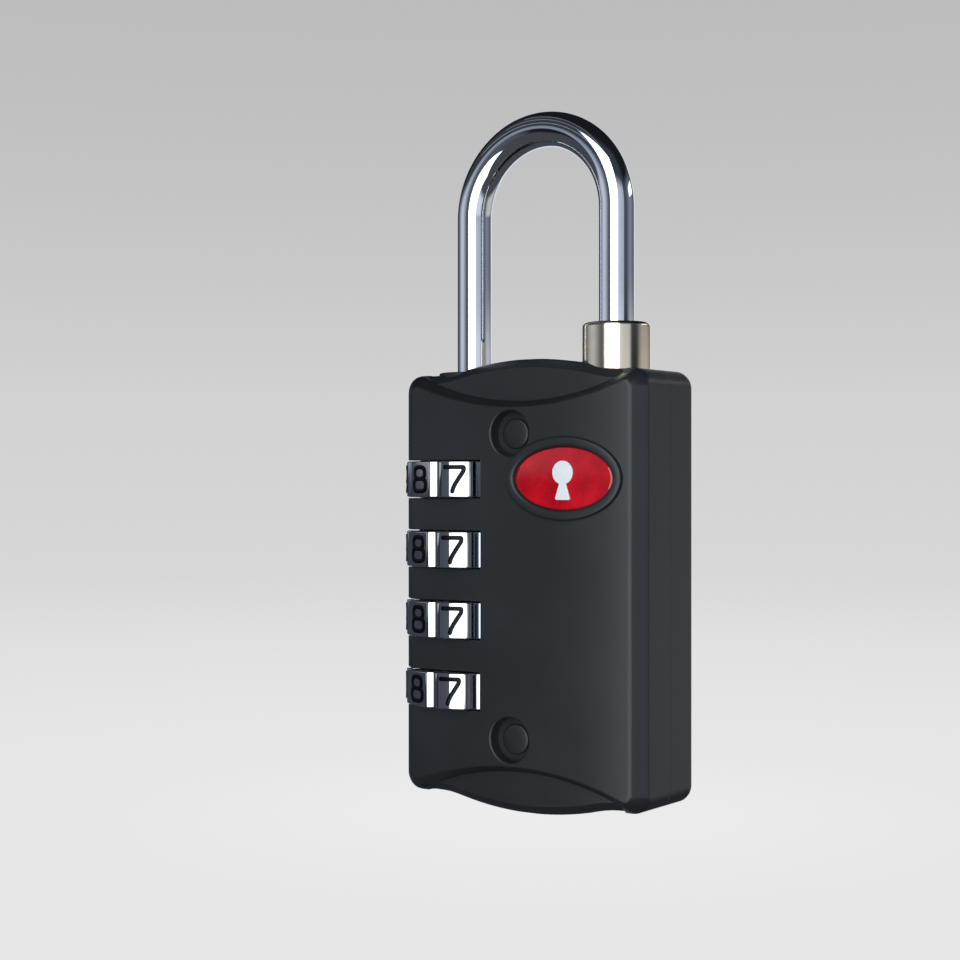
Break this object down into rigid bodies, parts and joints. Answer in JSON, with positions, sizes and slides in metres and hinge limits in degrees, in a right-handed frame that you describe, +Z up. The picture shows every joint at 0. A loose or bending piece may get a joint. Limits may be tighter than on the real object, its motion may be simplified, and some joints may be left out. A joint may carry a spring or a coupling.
{
  "type": "luggage combination padlock",
  "caption": "Small luggage padlock: a slim black casing with number dials along one edge, a chromed U-shaped shackle, a collar at its toe and an inspection key lock underneath.",
  "frame": {"origin": "inside of the shackle's crown, midway between its legs, where the lock hangs", "axes": "+Z up along the shackle's legs, -Y out of the front face with the badge, +X towards the shackle's toe; the dials are on the -X side"},
  "size_m": [0.0272, 0.0126, 0.0635],
  "materials": {
    "black_enamel": "satin",
    "shackle_chrome": "polished",
    "dial_chrome": "polished",
    "collar_nickel": "polished",
    "bush_plastic": "matte",
    "spring_steel": "satin",
    "hub_brass": "machined",
    "mechanism_steel": "machined",
    "badge_red": "gloss",
    "badge_white": "gloss"
  },
  "bodies": {
    "casing": {"front_cover": "black_enamel", "back_cover": "black_enamel", "front_frame": "black_enamel", "back_frame": "black_enamel", "leg_guide_bush": "bush_plastic", "toe_collar": "collar_nickel", "shackle_spring": "spring_steel", "dial_detent_spring": "spring_steel", "key_cylinder_shell": "mechanism_steel", "casing_rivets": "black_enamel", "emblem_bezel": "black_enamel", "emblem_insert": "badge_red", "emblem_keyhole_mark": "badge_white"},
    "shackle": {"shackle": "shackle_chrome"},
    "dial_1": {"dial_ring_1": "dial_chrome", "dial_hub_1": "hub_brass"},
    "dial_2": {"dial_ring_2": "dial_chrome", "dial_hub_2": "hub_brass"},
    "dial_3": {"dial_ring_3": "dial_chrome", "dial_hub_3": "hub_brass"},
    "dial_4": {"dial_ring_4": "dial_chrome", "dial_hub_4": "hub_brass"},
    "key_plug": {"key_plug": "hub_brass", "key_wafers": "hub_brass", "plug_retainer_clip": "spring_steel", "release_cam": "mechanism_steel"},
    "hub_retainer": {"hub_retainer_slide": "mechanism_steel"}
  },
  "joints": [
    {"name": "shackle_lift", "type": "slide", "parent": "casing", "child": "shackle", "axis": [0, 0, 1], "range_m": [0, 0.0064], "deforming": ["shackle_spring"]},
    {"name": "dial_1_turn", "type": "hinge", "parent": "casing", "child": "dial_1", "pos_m": [-0.0077, 0, -0.0303], "axis": [0, 0, 1], "continuous": true},
    {"name": "dial_2_turn", "type": "hinge", "parent": "casing", "child": "dial_2", "pos_m": [-0.0077, 0, -0.0367], "axis": [0, 0, 1], "continuous": true},
    {"name": "dial_3_turn", "type": "hinge", "parent": "casing", "child": "dial_3", "pos_m": [-0.0077, 0, -0.0431], "axis": [0, 0, 1], "continuous": true},
    {"name": "dial_4_turn", "type": "hinge", "parent": "casing", "child": "dial_4", "pos_m": [-0.0077, 0, -0.0495], "axis": [0, 0, 1], "continuous": true},
    {"name": "key_plug_turn", "type": "hinge", "parent": "casing", "child": "key_plug", "pos_m": [0.0077, 0, -0.059], "axis": [0, 0, 1], "range_deg": [0, 90]},
    {"name": "hub_retainer_travel", "type": "slide", "parent": "casing", "child": "hub_retainer", "axis": [1, 0, 0], "range_m": [0, 0.00155]}
  ],
  "couplings": [
    {"joint": "key_plug_turn", "follows": "hub_retainer_travel", "rad_per_m": 1009.7}
  ]
}
